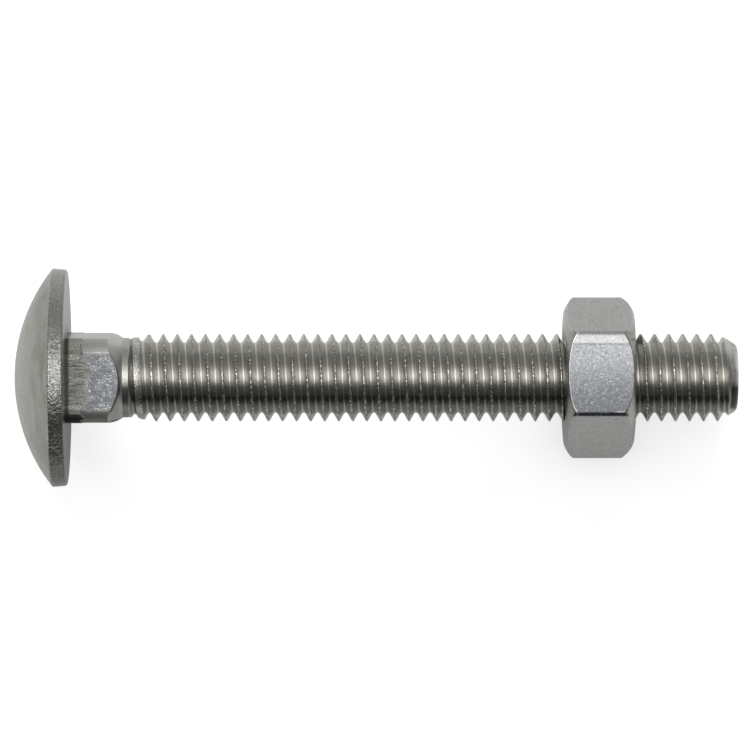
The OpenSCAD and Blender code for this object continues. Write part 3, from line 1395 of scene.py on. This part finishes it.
@dataclass
class HexBody(Piece):
    """The nut's outside, chamfered at both ends, with a countersunk bore."""

    name: ClassVar[str] = "hexagon_nut"
    sharp: ClassVar[float] = 20
    body: ClassVar[Body] = Body.NUT
    slot: ClassVar[Slot] = Slot.NUT
    node: ClassVar[str] = "nut"
    width: float = 12.726
    height: float = 6.15
    place: float = 44.22
    face_width: float = 11.8
    edge: float = 0.48
    crown: float = 0.1
    head_side: tuple[Point, ...] = (
        (0.0, 5.9), (0.05, 6.12), (0.2, 6.42), (0.38, 6.72), (0.56, 6.97), (0.75, 7.13), (1.0, 7.26),
        (1.3, 7.4), (1.8, 7.8),
    )
    tip_side: tuple[Point, ...] = (
        (0.0, 5.86), (0.04, 6.0), (0.1, 6.13), (0.27, 6.42), (0.45, 6.66), (0.63, 6.84), (0.81, 7.0),
        (0.99, 7.13), (1.17, 7.23), (1.4, 7.34), (1.9, 7.8),
    )
    outside: float = 8.0
    chamfer: float = 1.5
    bore: float = 4.0
    sink: float = 0.35
    sides: int = 360
    nicks: tuple[Nick, ...] = (
        Nick(0.65, 46.65, 35, 0.22, 0.045),
        Nick(-0.05, 47.3, -20, 0.3, 0.04),
        Nick(-0.7, 48.05, 10, 0.2, 0.045),
        Nick(-1.0, 45.8, 60, 0.16, 0.04),
        Nick(1.6, 47.7, -50, 0.14, 0.04),
        Nick(2.1, 45.7, 20, 0.2, 0.035),
        Nick(-0.15, 50.15, 80, 0.22, 0.09, False),
        Nick(3.0, 50.1, 30, 0.25, 0.12, False),
        Nick(-4.0, 48.55, 25, 0.4, 0.03, False),
        Nick(-4.3, 49.15, -30, 0.35, 0.03, False),
        Nick(6.1, 48.9, 5, 0.2, 0.06, False),
        Nick(4.7, 46.4, 10, 0.3, 0.04, False),
    )

    def cone_radius(self, height: float) -> float:
        """Gives the radius that the chamfers leave at a distance from the bearing face."""
        inside = height - self.place
        return min(between(self.head_side, inside), between(self.tip_side, self.height - inside))

    def side_radius(self, angle: float) -> float:
        """Gives the distance from the axis to the hexagon's side, which is slightly crowned."""
        fall = self.crown * (folded(angle, 6) / (math.pi / 6)) ** 2
        return prism_radius(angle, self.width / 2, self.edge, 6) - fall

    def shaped(self, now: float, angle: float, height: float) -> float:
        """Gives the outside's radius, and leaves the bore as it is."""
        skin = min(self.side_radius(angle), self.cone_radius(height))
        return now if now < self.outside - CLOSE else skin

    def edge_gap(self, place: Vector) -> float:
        """Gives how far the chamfer stands outside the flat: less than 0 on a chamfer."""
        return self.cone_radius(place.z) - self.side_radius(polar(place)[1])

    def corner_gap(self, place: Vector) -> float:
        """Gives the distance along a flat from its nearer long edge."""
        return self.width / 2 * (math.tan(math.pi / 6) - math.tan(folded(polar(place)[1], 6)))

    def outline(self) -> list[Point]:
        """Draws the nut's whole section, once round the wall.

        Returns:
            The outline's points.
        """
        low = self.place
        high = self.place + self.height
        heights = (low, low + self.chamfer, high - self.chamfer, high)
        wall = []
        for start, end, count in zip(heights, heights[1:], (30, 12, 30)):
            wall += spaced((self.outside, start), (self.outside, end), count)
        wall.append((self.outside, high))
        face = self.face_width / 2 - 0.05
        ends = []
        for end, inward in ((high, -1), (low, 1)):
            mouth = (self.bore + self.sink, end, 0.05)
            foot = (self.bore, end + inward * self.sink, 0.05)
            ends.append([(face, end, 0.0), mouth, foot, (self.bore, end + inward, 0.0)])
        return wall + softened(ends[0], 3) + softened(ends[1][::-1], 3)

    def shell(self) -> Shell:
        """Makes the nut's mesh.

        Returns:
            The mesh.
        """
        bm = turned_shell(self.outline(), self.sides, closed=True)
        set_radii(bm, self.shaped)
        return bm

    def marks(self) -> Marks:
        """Gives the numbers that the nut's finish reads."""
        return {Mark.EDGE_GAP: self.edge_gap, Mark.CORNER_GAP: self.corner_gap}

    def finish(self) -> SteelFinish:
        """Gives the nut's finish."""
        return NutFinish("scratched nut steel", self.effects, nicks=self.nicks)


@dataclass
class NutThread(Piece):
    """The nut's internal thread, clear of the bolt's."""

    name: ClassVar[str] = "nut_thread"
    sharp: ClassVar[float] = 50
    body: ClassVar[Body] = Body.NUT
    slot: ClassVar[Slot] = Slot.NUT
    node: ClassVar[str] = "nut"
    inner: float = 3.35
    outer: float = 3.96
    wall: float = 4.12
    half_crest: float = 0.06
    flank_angle: float = 30.0
    low: float = 44.5
    high: float = 50.09
    bore: float = 4.0
    sink_slope: float = 1.2
    sides: int = 72

    def outline(self) -> list[Point]:
        """Draws the groove's side over one pitch.

        Returns:
            The outline's points.
        """
        flank = (self.outer - self.inner) * math.tan(math.radians(self.flank_angle))
        reach = self.half_crest + flank
        return softened(
            [
                (self.outer, 0.0, 0.0),
                (self.outer, self.half_crest, 0.04),
                (self.inner, reach, 0.06),
                (self.inner, PITCH - reach, 0.06),
                (self.outer, PITCH - self.half_crest, 0.04),
                (self.outer, PITCH, 0.0),
            ],
            steps=2,
        )

    def opened(self, now: float, angle: float, height: float) -> float:
        """Widens the thread towards both ends, as its countersinks do, at any angle."""
        inside = min(height - self.low, self.high - height)
        return max(now, min(self.outer, self.outer - inside * self.sink_slope))

    def shell(self) -> Shell:
        """Makes the internal thread's mesh.

        Returns:
            The mesh.
        """
        bm = wound_shell(self.outline(), self.low, self.high, self.sides)
        set_radii(bm, self.opened)
        ends = []
        for height, keep_above in ((self.low, True), (self.high, False)):
            edge = cut_square(bm, height, keep_above)
            ends.extend(carry_edge(bm, edge, self.wall, height, cap=False))
        bmesh.ops.bridge_loops(bm, edges=ends)
        return bm

    def marks(self) -> Marks:
        """Gives the height above the bore, with no cut end."""
        return {
            Mark.HEIGHT: lambda place: (self.bore - polar(place)[0]) * 1.1,
            Mark.CUT_END: lambda place: 0.0,
        }

    def finish(self) -> SteelFinish:
        """Gives the internal thread's finish."""
        return ThreadFinish("cut thread steel", self.effects)


@dataclass
class Nut:
    """The hexagon nut: its body and its internal thread."""

    effects: Effects

    def build(self) -> list[Thing]:
        """Builds the nut's pieces."""
        return [kind(self.effects).build() for kind in (HexBody, NutThread)]


# Floor, light and camera


@dataclass
class Studio:
    """Pale floor, soft surrounding light and the camera: angles are in degrees."""

    camera_distance: float = 0.5
    camera_yaw: float = 0.6
    camera_roll: float = 3.4
    middle: float = 27.565
    raised: float = 0.053
    frame_width: float = 67.153
    floor_size: float = 4.0
    key_strength: float = 3.4
    key_softness: float = 35.0
    key_tilt: float = 58.0
    end_glow: float = 0.14
    end_reach: Point = (0.55, 0.88)
    bands: tuple[Point, ...] = (
        (-180, 0.1), (-95, 0.1), (-86, 0.06), (-66, 0.085), (-46, 0.13), (-29, 0.19), (-18, 0.5), (-9, 2.3),
        (3, 2.7), (11, 1.9), (21, 1.5), (31, 0.62), (88, 0.42), (95, 0.1), (180, 0.1),
    )

    def floor(self) -> Thing:
        """Lays the floor.

        Returns:
            The floor.
        """
        bm = bmesh.new()
        bmesh.ops.create_grid(bm, x_segments=1, y_segments=1, size=self.floor_size / 2)
        mesh = bpy.data.meshes.new("floor")
        bm.to_mesh(mesh)
        bm.free()
        mesh.materials.append(FloorFinish().material())
        floor = added("floor", mesh)
        return floor

    def light(self) -> bpy.types.World:
        """Sets up the soft light that surrounds the object, in bands along the bolt.

        Returns:
            The world.
        """
        world = bpy.data.worlds.new("soft studio light")
        wiring = Wiring.fresh(world)
        direction = wiring.add("ShaderNodeTexCoord").outputs["Generated"]
        parts = wiring.split(direction)
        angle = wiring.calc("ARCTAN2", parts["Y"], parts["Z"])
        share = wiring.calc("ADD", wiring.calc("DIVIDE", angle, math.tau), 0.5)
        ramp = wiring.add("ShaderNodeValToRGB", {"Fac": share})
        stops = ramp.color_ramp.elements
        while len(stops) < len(self.bands):
            stops.new(0.5)
        for stop, (degrees, strength) in zip(stops, self.bands):
            stop.position = (degrees + 180) / 360
            stop.color = (*grey(strength), 1.0)
        side = wiring.span(wiring.calc("ABSOLUTE", parts["X"]), *self.end_reach)
        glow = wiring.blend(side, ramp.outputs[0], grey(self.end_glow))
        back = wiring.add("ShaderNodeBackground", {"Color": glow, "Strength": 1.0})
        wiring.add("ShaderNodeOutputWorld", {"Surface": back.outputs[0]})
        bpy.context.scene.world = world
        return world

    def key(self) -> Thing:
        """Hangs the soft key light on the far side, which gives the floor its soft shadow.

        Returns:
            The light.
        """
        data = bpy.data.lights.new("key light", "SUN")
        data.energy = self.key_strength
        data.angle = math.radians(self.key_softness)
        key = added("key light", data)
        key.rotation_euler = (math.radians(-self.key_tilt), 0.0, 0.0)
        key.visible_glossy = False
        return key

    def camera(self) -> Thing:
        """Puts the camera where the photograph was taken from, and makes it the scene's.

        Returns:
            The camera.
        """
        yaw = math.radians(self.camera_yaw)
        roll = math.radians(self.camera_roll)
        back = LIE.upward() * math.cos(roll) - Vector((0, 1, 0)) * math.sin(roll)
        back = (back * math.cos(yaw) - LIE.along() * math.sin(yaw)).normalized()
        right = (LIE.along() - back * LIE.along().dot(back)).normalized()
        up = back.cross(right)
        aim = LIE.point(self.middle) + up * (self.raised * MM)
        data = bpy.data.cameras.new("camera")
        data.sensor_width = 36.0
        data.lens = data.sensor_width * self.camera_distance / (self.frame_width * MM)
        data.clip_start = 0.01
        camera = added("camera", data)
        turn = Matrix((right, up, back)).transposed().to_4x4()
        camera.matrix_world = Matrix.Translation(aim + back * self.camera_distance) @ turn
        bpy.context.scene.camera = camera
        return camera


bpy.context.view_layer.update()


def main() -> None:
    """Builds the bolt, the nut and the studio, in that order."""
    logging.basicConfig(level=logging.INFO, format="%(name)s: %(message)s")
    bpy.context.scene.view_settings.view_transform = "Standard"
    effects = Effects()
    for assembly in (Bolt(effects), Nut(effects)):
        for piece in assembly.build():
            log.info("built %s", piece.name)
    studio = Studio()
    for thing in (studio.floor(), studio.light(), studio.key(), studio.camera()):
        log.info("set up %s", thing.name)


if __name__ == "__main__":
    main()
